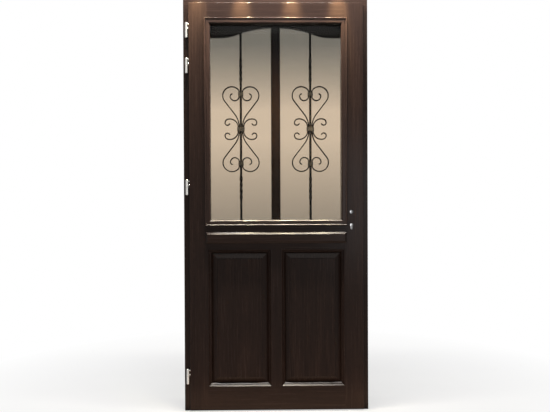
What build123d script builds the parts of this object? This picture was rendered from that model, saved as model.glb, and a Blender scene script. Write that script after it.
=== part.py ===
from build123d import *
import math
import os
from types import SimpleNamespace

# A half-glazed wooden entrance door in its frame, in millimetres.
# X runs right, Y away from the room, Z up. The origin is on the floor, under the middle of the frame.

# Frame
frame_width = 980.0
frame_height = 2200.0
frame_depth = 68.0
hinge_reveal = 31.0
lock_reveal = 26.0
head_reveal = 34.0
stop_width = 15.0
stop_gap = 5.0
gasket_groove_width = 4.0
gasket_groove_depth = 6.0
gasket_bulb_width = 9.0
fixing_radius = 5.25
fixing_cap_radius = 8.0
fixing_cap_depth = 6.0
fixing_bottom_height = 220.0
fixing_top_drop = 240.0
fixing_inner_share = 0.38

# Threshold
threshold_low = 8.0
threshold_top = 20.0
threshold_crest = 10.0
threshold_nose = 26.0
threshold_nose_height = 5.0
threshold_wall = 2.5

# Leaf
leaf_thickness = 68.0
leaf_bottom = 6.0
leaf_body_bottom = 13.0
overlap_width = 18.0
overlap_thickness = 20.0
overlap_gap = 3.0
edge_gap = 4.0
edge_round = 3.0
lock_stile_width = 100.0
top_rail_height = 94.0
lip_width = 15.0
lip_thickness = 18.0
glass_opening_bottom = 999.0
mid_rail_height = 136.0
panel_opening_bottom = 129.0
muntin_width = 50.0
mullion_width = 49.0
arch_drop = 79.0
arch_rise = 54.0
arch_flat = 52.0
arch_inflection_share = 0.29
tenon_length = 30.0
tenon_thickness = 18.0
tenon_shoulder = 14.0
mid_tenon_height = 40.0
muntin_tenon_width = 34.0
edge_snap = 0.01

# Glazing unit and its beads
glass_clearance = 4.0
pane_thickness = 4.0
pane_space = 16.0
spacer_width = 6.5
edge_seal_width = 4.5
glazing_gasket_thickness = 3.0
glazing_gasket_width = 10.0
block_length = 100.0
bead_width = 31.0
bead_lap = 14.0
bead_proud = 9.0
bead_nose = 9.0
bead_nose_round = 3.5
bead_nose_bevel = 3.5
bead_quirk_width = 3.0
bead_quirk_depth = 5.0
bead_band_proud = 6.0
bead_inner_bevel = 5.0

# Raised panels and their mouldings
panel_thickness = 24.0
panel_clearance = 3.0
panel_bevel_width = 30.0
panel_bevel_depth = 12.0
panel_step = 3.0
panel_back_bevel_depth = 7.0
moulding_proud = 2.0
moulding_fillet = 5.0
moulding_step = 3.0
moulding_bevel_width = 6.0
moulding_bevel_depth = 7.5
moulding_inner_step = 2.0
moulding_inner_fillet = 3.0

# Waist moulding, weather bar and bottom seal
waist_gap = 32.0
waist_height = 61.0
waist_end_lap = 10.0
waist_base = 5.0
waist_depth = 17.0
waist_bevel = 12.0
weather_bottom = 38.0
weather_height = 58.0
weather_depth = 36.0
weather_lip = 12.0
weather_top_edge = 6.0
weather_drip = 5.0
weather_sag_share = 0.08
weather_end_gap = 7.0
seal_width = 8.0
seal_groove_depth = 8.0
seal_gap = 0.3

# Grilles
grille_plane_share = 0.5
bar_size = 12.0
bar_socket_depth = 15.0
socket_clearance = 0.2
strip_thickness = 6.0
collar_band = 2.0
middle_collar_height = 22.0
end_collar_height = 20.0
twist_turn = 360.0

# Outline of one grille, in shares of half the clear height between the sill and the arch's ends
twist_start_share = 0.515
twist_length_share = 0.266
long_scroll_bend_share = 0.229
long_scroll_run_share = 0.184
long_scroll_crown_share = 0.098
long_scroll_curl_share = 0.049
long_scroll_tip_share = 0.0245
long_scroll_bend_angle = 37.5
long_scroll_close_angle = 50.0
long_scroll_tip_angle = 90.0
short_scroll_shares = (0.09, 0.041, 0.0266)
short_scroll_angles = (105.0, 75.0, 165.0)

# Hinges
hinge_bottom_height = 186.0
hinge_middle_share = 0.609
hinge_top_drop = 143.0
hinge_pair_spacing = 187.0
hinge_offset = 12.5
barrel_radius = 7.5
knuckle_height = 41.0
knuckle_dome = 3.0
pin_radius = 4.0
pin_reach = 31.0
pin_clearance = 0.05
bush_wall = 1.5
bush_flange = 2.0
bush_inset = 0.4
hinge_play = 0.1
press_clearance = 0.02
peg_radius = 3.5
peg_reach = 40.0
peg_clearance = 0.15
peg_spacing = 22.0
peg_end = 9.0

# Lock
spindle_height = 1058.0
cylinder_drop = 70.0
backset = 45.0
faceplate_width = 20.0
faceplate_thickness = 3.0
faceplate_corner = 9.0
faceplate_bottom = 310.0
faceplate_top_drop = 356.0
case_thickness = 16.0
case_wall = 1.5
case_depth = 70.0
case_above_spindle = 65.0
case_below_cylinder = 70.0
outer_case_depth = 52.0
outer_case_height = 90.0
outer_bolt_end_gap = 65.0
wood_clearance = 0.5
spindle_hole_radius = 10.0
spindle_square = 8.1
cylinder_hole_radius = 8.75
cylinder_slot_width = 10.5
cylinder_hole_height = 33.5
follower_clearance = 0.2
follower_flange = 3.0
follower_arm_length = 22.0
follower_arm_width = 6.0
works_clearance = 0.5
bolt_throw = 20.0
dead_bolt_drop = 33.0
dead_bolt_height = 32.0
dead_bolt_length = 41.0
outer_bolt_height = 24.0
bolt_inset = 0.5
latch_rise = 32.0
latch_height = 24.0
latch_reach = 12.0
latch_nose = 3.0
latch_length = 21.0
latch_tail_height = 6.0
latch_lug_width = 7.0
latch_lug_drop = 18.0
rod_width = 12.0
rod_thickness = 3.0
rod_entry = 17.0
strike_width = 24.0
strike_thickness = 3.0
strike_corner = 11.0
strike_margin = 45.0
strike_clearance = 2.0
strike_pocket_spare = 4.0

# Planes across the thickness, worked out from the sizes above
frame_front = -frame_depth / 2
frame_back = frame_depth / 2
overlap_back = frame_front - overlap_gap
leaf_front = overlap_back - overlap_thickness
leaf_back = leaf_front + leaf_thickness
lip_face = leaf_back - lip_thickness
stop_face = leaf_back + stop_gap
unit_back = lip_face - glazing_gasket_thickness
unit_front = unit_back - 2 * pane_thickness - pane_space
bead_back = unit_front - glazing_gasket_thickness
panel_front = lip_face - panel_thickness
grille_y = lip_face + lip_thickness * grille_plane_share
works_y = (overlap_back + leaf_back) / 2


def side_lines(side, reveal):
    """X of the frame's face, leaf edges, rebate and stop on one side: -1 for the hinges, 1 for the lock."""
    outer = side * frame_width / 2
    overlap = outer - side * reveal
    body = overlap - side * overlap_width
    rebate = body + side * edge_gap
    return SimpleNamespace(
        side=side, outer=outer, overlap=overlap, body=body, rebate=rebate, stop=rebate - side * stop_width
    )


# Lines across the width, worked out likewise
hinge_side = side_lines(-1, hinge_reveal)
lock_side = side_lines(1, lock_reveal)
half_opening = lock_side.overlap - lock_stile_width
half_lip_opening = half_opening - lip_width
half_muntin = muntin_width / 2
unit_half_width = half_opening - glass_clearance
waist_half_length = half_opening + waist_end_lap
grille_x = (mullion_width / 2 + half_lip_opening) / 2
hinge_x = hinge_side.overlap - hinge_offset
hinge_y = leaf_front + overlap_thickness / 2
spindle_x = lock_side.body - backset
faceplate_back = lock_side.body - faceplate_thickness
rod_front = faceplate_back - case_wall - works_clearance
moulding_width = moulding_fillet + 2 * moulding_bevel_width + moulding_inner_fillet

# Heights, worked out likewise
leaf_top = frame_height - head_reveal
body_top = leaf_top - overlap_width
head_rebate = body_top + edge_gap
head_stop = head_rebate - stop_width
glass_opening_top = leaf_top - top_rail_height
unit_bottom = glass_opening_bottom + glass_clearance
unit_top = glass_opening_top - glass_clearance
panel_opening_top = glass_opening_bottom - mid_rail_height
arch_end_height = glass_opening_top - arch_drop
arch_crown = arch_end_height + arch_rise
sill_height = glass_opening_bottom + lip_width
grille_height = (sill_height + arch_end_height) / 2
grille_half_height = (arch_end_height - sill_height) / 2
waist_top = glass_opening_bottom - bead_lap - waist_gap
waist_bottom = waist_top - waist_height
cylinder_height = spindle_height - cylinder_drop
faceplate_top = leaf_top - faceplate_top_drop
lower_bolt_height = faceplate_bottom + outer_bolt_end_gap
upper_bolt_height = faceplate_top - outer_bolt_end_gap
fixing_outer_spacing = frame_height - fixing_top_drop - fixing_bottom_height
fixing_inner_spacing = fixing_outer_spacing * fixing_inner_share
fixing_middle_height = fixing_bottom_height + fixing_outer_spacing / 2
hinge_top_height = leaf_top - hinge_top_drop
hinge_pair_height = hinge_top_height - hinge_pair_spacing
hinge_middle_height = hinge_bottom_height + (hinge_pair_height - hinge_bottom_height) * hinge_middle_share
hinge_heights = (hinge_bottom_height, hinge_middle_height, hinge_pair_height, hinge_top_height)


# General shapes


def block(x, y, z):
    """A box between three pairs of limits, in either order."""
    limits = [sorted(pair) for pair in (x, y, z)]
    middle = [(low + high) / 2 for low, high in limits]
    return Pos(*middle) * Box(*[high - low for low, high in limits])


def prism(points, direction, length):
    """An outline of 3-D points, extruded along a direction."""
    return extrude(make_face(Polyline(*points, close=True)), amount=length, dir=direction)


def prism_x(points, x):
    """An outline of (y, z) points between two values of X."""
    return prism([(x[0], y, z) for y, z in points], (1, 0, 0), x[1] - x[0])


def prism_z(points, z):
    """An outline of (x, y) points between two values of Z."""
    return prism([(x, y, z[0]) for x, y in points], (0, 0, 1), z[1] - z[0])


def rod(start, direction, radius, length):
    """A cylinder that starts at a point and runs along a direction."""
    return Plane(origin=start, z_dir=direction) * Cylinder(
        radius, length, align=(Align.CENTER, Align.CENTER, Align.MIN)
    )


def frustum(x, z, y, inset):
    """A bevelled field: a rectangle at y[0] that shrinks by an inset on every side at y[1]."""
    middle_x, middle_z = (x[0] + x[1]) / 2, (z[0] + z[1]) / 2
    width, height = abs(x[1] - x[0]), abs(z[1] - z[0])
    base = Plane(origin=(middle_x, y[0], middle_z), x_dir=(1, 0, 0), z_dir=(0, -1, 0))
    field = Plane(origin=(middle_x, y[1], middle_z), x_dir=(1, 0, 0), z_dir=(0, -1, 0))
    return loft(
        [base * Rectangle(width, height), field * Rectangle(width - 2 * inset, height - 2 * inset)],
        ruled=True,
    )


def ring(half_width, z, y, width):
    """A rectangular loop centred on X, between two heights and two depths, of one band width."""
    outer = block((-half_width, half_width), y, z)
    inner_half = half_width - width
    return outer - block((-inner_half, inner_half), y, (z[0] + width, z[1] - width))


def profile_face(*pieces):
    """A closed outline of (y, distance) lines and arcs as a face in the YZ plane."""
    return Plane.YZ * make_face([edge for piece in pieces for edge in piece.edges()])


def mitred_bar(profile, length):
    """A moulding along X with its outer edge on the X axis, mitred at both ends.

    The profile is a face in the YZ plane whose Z runs from the outer edge inwards.
    """
    bar = extrude(profile, amount=length, dir=(1, 0, 0))
    box = bar.bounding_box()
    reach = box.max.Z
    wedge = make_face(
        Polyline((0, box.min.Y, 0), (length, box.min.Y, 0), (length - reach, box.min.Y, reach),
                 (reach, box.min.Y, reach), close=True)
    )
    return bar & extrude(wedge, amount=box.size.Y, dir=(0, 1, 0))


def mitred_frame(profile, x, z):
    """Four mitred mouldings round a rectangle, by the name of their side."""
    across = mitred_bar(profile, x[1] - x[0])
    upright = mitred_bar(profile, z[1] - z[0])
    return {
        "bottom": Location((x[0], 0, z[0])) * across,
        "top": Location((x[1], 0, z[1]), (0, 180, 0)) * across,
        "left": Location((x[0], 0, z[1]), (0, 90, 0)) * upright,
        "right": Location((x[1], 0, z[0]), (0, -90, 0)) * upright,
    }


def rounded_plate(x, y_middle, width, z, radius):
    """A flat plate on the door's edge, with round corners."""
    plane = Plane(origin=(x[0], y_middle, (z[0] + z[1]) / 2), x_dir=(0, 1, 0), z_dir=(1, 0, 0))
    return plane * extrude(RectangleRounded(width, z[1] - z[0], radius), amount=x[1] - x[0])


def group(*shapes):
    """Several separate solids as one node."""
    return Compound(children=[solid for shape in shapes for solid in shape.solids()])


# Frame


def make_head():
    """The frame head runs right across, over both jambs."""
    section = [
        (frame_front, frame_height),
        (frame_front, head_rebate),
        (stop_face, head_rebate),
        (stop_face, head_stop),
        (frame_back, head_stop),
        (frame_back, frame_height),
    ]
    head = prism_x(section, (hinge_side.outer, lock_side.outer))
    middle = head_stop + gasket_bulb_width / 2
    return head - block(
        (hinge_side.rebate, lock_side.rebate),
        (stop_face, stop_face + gasket_groove_depth),
        (middle - gasket_groove_width / 2, middle + gasket_groove_width / 2),
    )


def fixing_holes(lines):
    """Holes for the wall fixings, with a seat for a cover cap in the rebate."""
    y = (frame_front + stop_face) / 2
    out = Vector(lines.side, 0, 0)
    holes = []
    for spacing in (fixing_outer_spacing, fixing_inner_spacing):
        for end in (-1, 1):
            start = Vector(lines.rebate, y, fixing_middle_height + end * spacing / 2)
            holes.append(rod(start, out, fixing_radius, abs(lines.outer - lines.rebate)))
            holes.append(rod(start, out, fixing_cap_radius, fixing_cap_depth))
    return holes


def make_jamb(lines):
    """One jamb, coped under the head, with its gasket groove and fixing holes."""
    section = [
        (lines.outer, frame_front),
        (lines.rebate, frame_front),
        (lines.rebate, stop_face),
        (lines.stop, stop_face),
        (lines.stop, frame_back),
        (lines.outer, frame_back),
    ]
    jamb = prism_z(section, (0, head_rebate))
    middle = lines.stop + lines.side * gasket_bulb_width / 2
    groove = block(
        (middle - gasket_groove_width / 2, middle + gasket_groove_width / 2),
        (stop_face, stop_face + gasket_groove_depth),
        (0, head_rebate),
    )
    jamb = jamb - groove - fixing_holes(lines)
    return jamb - block((lines.stop, lines.outer), (stop_face, frame_back), (head_stop, head_rebate))


def make_hinge_jamb():
    """The hinge jamb, drilled for the pegs of the lower knuckles."""
    jamb = make_jamb(hinge_side)
    for height in hinge_heights:
        for z in frame_peg_heights(height):
            jamb -= rod((hinge_x, frame_front, z), (0, 1, 0), peg_radius + peg_clearance, peg_reach)
    return jamb


def make_lock_jamb():
    """The lock jamb, let in for the strike plates and hollowed behind them."""
    jamb = make_jamb(lock_side)
    for bottom, top, windows in strike_layouts():
        jamb -= strike_plate_blank(bottom, top)
        for low, high in windows:
            depth = max(bolt_throw, latch_reach) - edge_gap + strike_pocket_spare
            jamb -= block(
                (lock_side.rebate, lock_side.rebate + depth), strike_window_y(), (low, high)
            )
    return jamb


def make_threshold():
    """An aluminium threshold with an upstand behind the leaf and a sloping nose, hollow inside."""
    nose = frame_back + threshold_nose
    crest = stop_face + threshold_crest
    section = [
        (frame_front, 0),
        (frame_front, threshold_low),
        (stop_face, threshold_low),
        (stop_face, threshold_top),
        (crest, threshold_top),
        (nose, threshold_nose_height),
        (nose, 0),
    ]
    sill = prism_x(section, (hinge_side.stop, lock_side.stop))
    front = prism_x(section[:3] + [(stop_face, 0)], (hinge_side.rebate, lock_side.rebate))
    whole = (hinge_side.rebate, lock_side.rebate)
    chamber = block(
        whole,
        (frame_front + threshold_wall, stop_face - threshold_wall),
        (threshold_wall, threshold_low - threshold_wall),
    )
    upper_chamber = block(
        whole,
        (stop_face + gasket_groove_depth, crest),
        (threshold_wall, threshold_top - threshold_wall),
    )
    middle = threshold_gasket_height()
    groove = block(
        whole,
        (stop_face, stop_face + gasket_groove_depth - threshold_wall),
        (middle - gasket_groove_width / 2, middle + gasket_groove_width / 2),
    )
    return sill + front - chamber - upper_chamber - groove


def threshold_gasket_height():
    """The gasket in the threshold's upstand stands where the leaf's foot covers it."""
    return (leaf_body_bottom + threshold_top) / 2


def gasket_section(stem):
    """A stem for the groove and a bulb that the closed leaf squeezes, with Y across the leaf's gap."""
    bulb_depth = stop_gap - seal_gap
    half = gasket_bulb_width / 2
    bulb = make_face(
        [
            Line((half, 0), (-half, 0)),
            ThreePointArc((-half, 0), (0, -bulb_depth), (half, 0)),
        ]
    )
    stem_face = Pos(0, stem / 2) * Rectangle(gasket_groove_width - 2 * socket_clearance, stem)
    return bulb + stem_face


def make_frame_gasket():
    """Bulb gaskets up both stops, under the head's stop and along the threshold."""
    stem = gasket_groove_depth - socket_clearance
    section = gasket_section(stem)
    strips = []
    half_bulb = gasket_bulb_width / 2
    for lines in (hinge_side, lock_side):
        foot = (lines.stop + lines.side * half_bulb, stop_face, threshold_top)
        plane = Plane(origin=foot, x_dir=(1, 0, 0), z_dir=(0, 0, 1))
        strips.append(plane * extrude(section, amount=head_stop - threshold_top, dir=(0, 0, 1)))
    start = (hinge_side.stop - gasket_bulb_width, stop_face, head_stop + half_bulb)
    span = lock_side.stop - hinge_side.stop + 2 * gasket_bulb_width
    across = Plane(origin=start, x_dir=(0, 0, -1), z_dir=(1, 0, 0))
    strips.append(across * extrude(section, amount=span, dir=(0, 0, 1)))
    half = (threshold_top - leaf_body_bottom) / 2
    foot_y = (stop_face - stop_gap + seal_gap, stop_face)
    foot_z = threshold_gasket_height()
    foot_x = (hinge_side.stop, lock_side.stop)
    stem_y = (stop_face, stop_face + gasket_groove_depth - threshold_wall - socket_clearance)
    stem_half = gasket_groove_width / 2 - socket_clearance
    strips.append(
        block(foot_x, foot_y, (foot_z - half, foot_z + half))
        + block(foot_x, stem_y, (foot_z - stem_half, foot_z + stem_half))
    )
    return group(*strips)


# Leaf woodwork


def round_leaf_edges(member):
    """Round the leaf's front arrises where a member carries them."""
    lines = (
        (Axis.X, hinge_side.overlap),
        (Axis.X, lock_side.overlap),
        (Axis.Z, leaf_top),
        (Axis.Z, leaf_bottom),
    )
    front = edges_at(member.edges(), Axis.Y, leaf_front)
    chosen = [edge for axis, place in lines for edge in edges_at(front, axis, place)]
    return fillet(chosen, edge_round)


def edges_at(edges, axis, place):
    """Those edges whose middle lies at one place along an axis."""
    return edges.filter_by_position(axis, place - edge_snap, place + edge_snap)


def trim_overlap(member):
    """Cut the leaf's body back behind the overlap at its head and foot."""
    wide = (hinge_side.overlap, lock_side.overlap)
    behind = (overlap_back, leaf_back)
    head = block(wide, behind, (body_top, leaf_top))
    return member - head - block(wide, behind, (leaf_bottom, leaf_body_bottom))


def tenon_spans():
    """Heights of the tenons of the three rails."""
    return {
        "top": (glass_opening_top + tenon_shoulder, body_top - tenon_shoulder),
        "mid": (panel_opening_top + tenon_shoulder, panel_opening_top + tenon_shoulder + mid_tenon_height),
        "bottom": (leaf_body_bottom + tenon_shoulder, panel_opening_bottom - tenon_shoulder),
    }


def tenon_depth():
    """Y limits of a tenon, which stands behind the glazing rebate's middle."""
    middle = (leaf_front + lip_face) / 2
    return (middle - tenon_thickness / 2, middle + tenon_thickness / 2)


def make_stile(lines):
    """A stile in its full height, rebated for the glass and panels, mortised for the rails."""
    opening, lip = lines.side * half_opening, lines.side * half_lip_opening
    section = [
        (lines.overlap, leaf_front),
        (opening, leaf_front),
        (opening, lip_face),
        (lip, lip_face),
        (lip, leaf_back),
        (lines.body, leaf_back),
        (lines.body, overlap_back),
        (lines.overlap, overlap_back),
    ]
    stile = round_leaf_edges(trim_overlap(prism_z(section, (leaf_bottom, leaf_top))))
    mortise = (opening, opening + lines.side * tenon_length)
    for span in tenon_spans().values():
        stile -= block(mortise, tenon_depth(), span)
    return stile


def make_hinge_stile():
    """The hinge stile, drilled from its edge for the pegs of the upper knuckles."""
    stile = make_stile(hinge_side)
    for height in hinge_heights:
        for z in leaf_peg_heights(height):
            stile -= rod((hinge_side.overlap, hinge_y, z), (1, 0, 0), peg_radius + peg_clearance, peg_reach)
    return stile


def make_lock_stile():
    """The lock stile, mortised for the lock and bored for the spindle and the cylinder."""
    stile = make_stile(lock_side)
    loose = wood_clearance
    stile -= rounded_plate(
        (faceplate_back, lock_side.body), works_y, faceplate_width, (faceplate_bottom, faceplate_top),
        faceplate_corner,
    )
    for z, depth in case_places():
        stile -= block(
            (faceplate_back - depth - loose, faceplate_back),
            (works_y - case_thickness / 2 - loose, works_y + case_thickness / 2 + loose),
            (z[0] - loose, z[1] + loose),
        )
    stile -= block(
        (rod_front - rod_thickness - loose, faceplate_back),
        (works_y - rod_width / 2 - loose, works_y + rod_width / 2 + loose),
        (lower_bolt_height, upper_bolt_height),
    )
    through = (leaf_front, leaf_back)
    stile -= rod((spindle_x, leaf_front, spindle_height), (0, 1, 0), spindle_hole_radius, leaf_thickness)
    return stile - cylinder_hole(through)


def cylinder_hole(y):
    """The profile-cylinder hole: a round head over a round-ended slot."""
    slot_radius = cylinder_slot_width / 2
    foot = cylinder_height + cylinder_hole_radius - cylinder_hole_height + slot_radius
    length = y[1] - y[0]
    head = rod((spindle_x, y[0], cylinder_height), (0, 1, 0), cylinder_hole_radius, length)
    slot = block((spindle_x - slot_radius, spindle_x + slot_radius), y, (foot, cylinder_height))
    return head + slot + rod((spindle_x, y[0], foot), (0, 1, 0), slot_radius, length)


def rail_body(front_z, lip_z):
    """A rail between the stiles: its face, its rear lip and the spans of both."""
    face = block((-half_opening, half_opening), (leaf_front, lip_face), front_z)
    return face + block((-half_lip_opening, half_lip_opening), (lip_face, leaf_back), lip_z)


def add_tenons(rail, span):
    """Add a rail's two tenons."""
    reach = half_opening + tenon_length
    return rail + block((-reach, reach), tenon_depth(), span)


def arch_board():
    """The rear lip of the top rail, with an ogee lower edge that rises to its middle."""
    run = half_lip_opening - arch_flat
    turn = 2 * math.degrees(math.atan(arch_rise / run))
    both_radii = run / math.sin(math.radians(turn))
    left = -half_lip_opening
    start = (left, arch_end_height)
    flat = Line(start, (left + arch_flat, arch_end_height))
    rise = JernArc(flat @ 1, flat % 1, both_radii * arch_inflection_share, turn)
    crown = JernArc(rise @ 1, rise % 1, both_radii * (1 - arch_inflection_share), -turn)
    top = Polyline(crown @ 1, (0, body_top), (left, body_top), start)
    half = make_face([flat, rise, crown, top.edges()])
    plane = Plane(origin=(0, leaf_back, 0), x_dir=(1, 0, 0), z_dir=(0, -1, 0))
    return plane * extrude(half + mirror(half, about=Plane.YZ), amount=lip_thickness)


def bar_sockets(z):
    """Square sockets for both grille bars between two heights."""
    half = bar_size / 2 + socket_clearance
    return [
        block((side * grille_x - half, side * grille_x + half), (grille_y - half, grille_y + half), z)
        for side in (-1, 1)
    ]


def make_top_rail():
    """The top rail with its arched lip and the sockets of the grille bars."""
    face = block((-half_opening, half_opening), (leaf_front, lip_face), (glass_opening_top, leaf_top))
    face = round_leaf_edges(trim_overlap(face))
    rail = add_tenons(face + arch_board(), tenon_spans()["top"])
    return rail - bar_sockets((arch_end_height, arch_crown + socket_clearance))


def make_mid_rail():
    """The rail between the glass and the panels."""
    lip_z = (panel_opening_top - lip_width, glass_opening_bottom + lip_width)
    rail = add_tenons(rail_body((panel_opening_top, glass_opening_bottom), lip_z), tenon_spans()["mid"])
    rail -= bar_sockets((lip_z[1] - bar_socket_depth - socket_clearance, lip_z[1]))
    return rail - muntin_tenon()


def make_bottom_rail():
    """The bottom rail with its overlap and the groove of the bottom seal."""
    rail = rail_body((leaf_bottom, panel_opening_bottom), (leaf_bottom, panel_opening_bottom + lip_width))
    rail = add_tenons(round_leaf_edges(trim_overlap(rail)), tenon_spans()["bottom"])
    return rail - seal_block(0, 0) - muntin_tenon()


def seal_block(end_gap, foot):
    """The strip under the bottom rail, or its groove, from the groove's top down to a foot."""
    half = seal_width / 2
    return block(
        (-half_opening + end_gap, half_opening - end_gap),
        (works_y - half, works_y + half),
        (foot, leaf_body_bottom + seal_groove_depth),
    )


def make_muntin():
    """The upright between the two panels."""
    face_z = (panel_opening_bottom, panel_opening_top)
    face = block((-half_muntin, half_muntin), (leaf_front, lip_face), face_z)
    half_lip = half_muntin + lip_width
    lip = block((-half_lip, half_lip), (lip_face, leaf_back), inset(face_z, lip_width))
    return face + lip + muntin_tenon()


def muntin_tenon():
    """The muntin's two tenons, in one block that runs through it."""
    half = muntin_tenon_width / 2
    z = (panel_opening_bottom - tenon_length, panel_opening_top + tenon_length)
    return block((-half, half), tenon_depth(), z)


def make_mullion(top_rail):
    """The upright behind the glass, scribed to the arch."""
    half = mullion_width / 2
    post = block((-half, half), (lip_face, leaf_back), (glass_opening_bottom + lip_width, arch_crown))
    return post - top_rail


def panel_limits(side):
    """X and Z limits of one panel's opening."""
    x = sorted((side * half_muntin, side * half_opening))
    return x, (panel_opening_bottom, panel_opening_top)


def inset(limits, amount):
    """A pair of limits drawn in by an amount at both ends."""
    return (limits[0] + amount, limits[1] - amount)


def make_panel(side):
    """A raised-and-fielded panel, with a flat margin under the moulding and bevels on both faces."""
    x, z = panel_limits(side)
    board = block(inset(x, panel_clearance), (panel_front, lip_face), inset(z, panel_clearance))
    bevel_x, bevel_z = inset(x, moulding_width), inset(z, moulding_width)
    field_front = panel_front - panel_bevel_depth
    board += frustum(bevel_x, bevel_z, (panel_front, field_front), panel_bevel_width)
    field_x, field_z = inset(bevel_x, panel_bevel_width), inset(bevel_z, panel_bevel_width)
    board += block(
        inset(field_x, panel_step), (field_front, field_front - panel_step), inset(field_z, panel_step)
    )
    back_x, back_z = inset(x, lip_width), inset(z, lip_width)
    return board + frustum(back_x, back_z, (lip_face, lip_face + panel_back_bevel_depth), panel_bevel_width)


def moulding_profile():
    """Panel moulding: a proud fillet, then two steps that each run down a bevel towards the panel."""
    face = leaf_front - moulding_proud
    first = face + moulding_step
    second = first + moulding_bevel_depth
    third = second + moulding_inner_step
    fourth = third + moulding_bevel_depth
    bevel_end = moulding_fillet + moulding_bevel_width
    fillet_end = bevel_end + moulding_inner_fillet
    return profile_face(
        Polyline(
            (panel_front, 0),
            (face, 0),
            (face, moulding_fillet),
            (first, moulding_fillet),
            (second, bevel_end),
            (third, bevel_end),
            (third, fillet_end),
            (fourth, moulding_width),
            (panel_front, moulding_width),
            (panel_front, 0),
        )
    )


def bead_profile():
    """Glazing bead: a nose proud of the stile, a quirk, and a flat band bevelled towards the glass."""
    nose = leaf_front - bead_proud
    nose_side = nose + bead_nose_round
    quirk = nose + bead_quirk_depth
    band = leaf_front - bead_band_proud
    band_start = bead_nose + bead_quirk_width
    return profile_face(
        Line((leaf_front, 0), (nose_side, 0)),
        JernArc((nose_side, 0), (-1, 0), bead_nose_round, -90),
        Polyline(
            (nose, bead_nose_round),
            (nose, bead_nose - bead_nose_bevel),
            (nose + bead_nose_bevel, bead_nose),
            (quirk, bead_nose),
            (quirk, band_start),
            (band, band_start),
            (band, bead_width - bead_inner_bevel),
            (band + bead_inner_bevel, bead_width),
            (bead_back, bead_width),
            (bead_back, bead_lap),
            (leaf_front, bead_lap),
            (leaf_front, 0),
        ),
    )


def make_waist():
    """The raised bar under the glass, bevelled on all four sides."""
    x = (-waist_half_length, waist_half_length)
    z = (waist_bottom, waist_top)
    base = leaf_front - waist_base
    return block(x, (base, leaf_front), z) + frustum(x, z, (base, leaf_front - waist_depth), waist_bevel)


def make_weather_bar():
    """The weather bar on the outside of the foot, with a hollow slope and a drip under its nose."""
    top = weather_bottom + weather_height
    nose = leaf_back + weather_depth
    shoulder = (leaf_back + weather_top_edge, top)
    brow = (nose, weather_bottom + weather_lip)
    profile = profile_face(
        Polyline((leaf_back, weather_bottom), (leaf_back, top), shoulder),
        SagittaArc(shoulder, brow, weather_height * weather_sag_share),
        Polyline(
            brow,
            (nose, weather_bottom),
            (nose - weather_drip, weather_bottom),
            (nose - weather_drip, weather_bottom + weather_drip),
            (nose - 2 * weather_drip, weather_bottom + weather_drip),
            (nose - 2 * weather_drip, weather_bottom),
            (leaf_back, weather_bottom),
        ),
    )
    x = (hinge_side.stop + weather_end_gap, lock_side.stop - weather_end_gap)
    return Pos(x[0], 0, 0) * extrude(profile, amount=x[1] - x[0], dir=(1, 0, 0))


# Glazing unit


def make_pane(y):
    """One pane of the sealed unit."""
    return block((-unit_half_width, unit_half_width), (y, y + pane_thickness), (unit_bottom, unit_top))


def make_spacer():
    """The metal spacer between the panes."""
    y = (unit_front + pane_thickness, unit_back - pane_thickness)
    half = unit_half_width - edge_seal_width
    return ring(half, inset((unit_bottom, unit_top), edge_seal_width), y, spacer_width)


def make_edge_seal():
    """The sealant round the unit's edge, outside the spacer."""
    y = (unit_front + pane_thickness, unit_back - pane_thickness)
    return ring(unit_half_width, (unit_bottom, unit_top), y, edge_seal_width)


def make_glazing_gaskets():
    """The gaskets on both faces of the unit, under the beads and on the lip."""
    z = (unit_bottom, unit_top)
    front = ring(unit_half_width, z, (bead_back, unit_front), glazing_gasket_width)
    return group(front, ring(unit_half_width, z, (unit_back, lip_face), glazing_gasket_width))


def make_setting_blocks():
    """Two blocks that carry the unit on the mid rail."""
    places = (-half_opening / 2, half_opening / 2)
    return group(
        *[
            block(
                (x - block_length / 2, x + block_length / 2),
                (bead_back, lip_face),
                (glass_opening_bottom, unit_bottom),
            )
            for x in places
        ]
    )


# Grilles


def make_grille_bar(side):
    """A square bar, twisted one turn above and below its middle, let into the rails."""
    half = bar_size / 2
    x = (side * grille_x - half, side * grille_x + half)
    y = (grille_y - half, grille_y + half)
    bottom = sill_height - bar_socket_depth
    twist_start = grille_half_height * twist_start_share
    twist_length = grille_half_height * twist_length_share
    twist_end = twist_start + twist_length
    bar = block(x, y, (grille_height - twist_start, grille_height + twist_start))
    bar += block(x, y, (bottom, grille_height - twist_end))
    bar += block(x, y, (grille_height + twist_end, arch_crown))
    for base in (grille_height - twist_end, grille_height + twist_start):
        centre = (side * grille_x, grille_y, base)
        section = Pos(*centre) * Rectangle(bar_size, bar_size)
        bar += Solid.extrude_linear_with_rotation(section.face(), centre, (0, 0, twist_length), twist_turn)
    return bar


def run_path(start, steps):
    """Tangent lines and arcs from a start that heads up: (length, 0) is a line, (radius, angle) an arc."""
    edges, point, heading = [], Vector(*start), Vector(0, 1)
    for size, angle in steps:
        edge = JernArc(point, heading, size, angle) if angle else Line(point, point + heading * size)
        edges.append(edge)
        point, heading = edge @ 1, edge % 1
    return edges


def strip_solid(edges):
    """A flat strip on edge along a path in the (x, height) plane, with its mirror below the middle."""
    face = Sketch() + [trace(edge, strip_thickness) for edge in edges]
    half = extrude(face, amount=bar_size / 2, both=True)
    return half + mirror(half, about=Plane.XZ)


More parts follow.
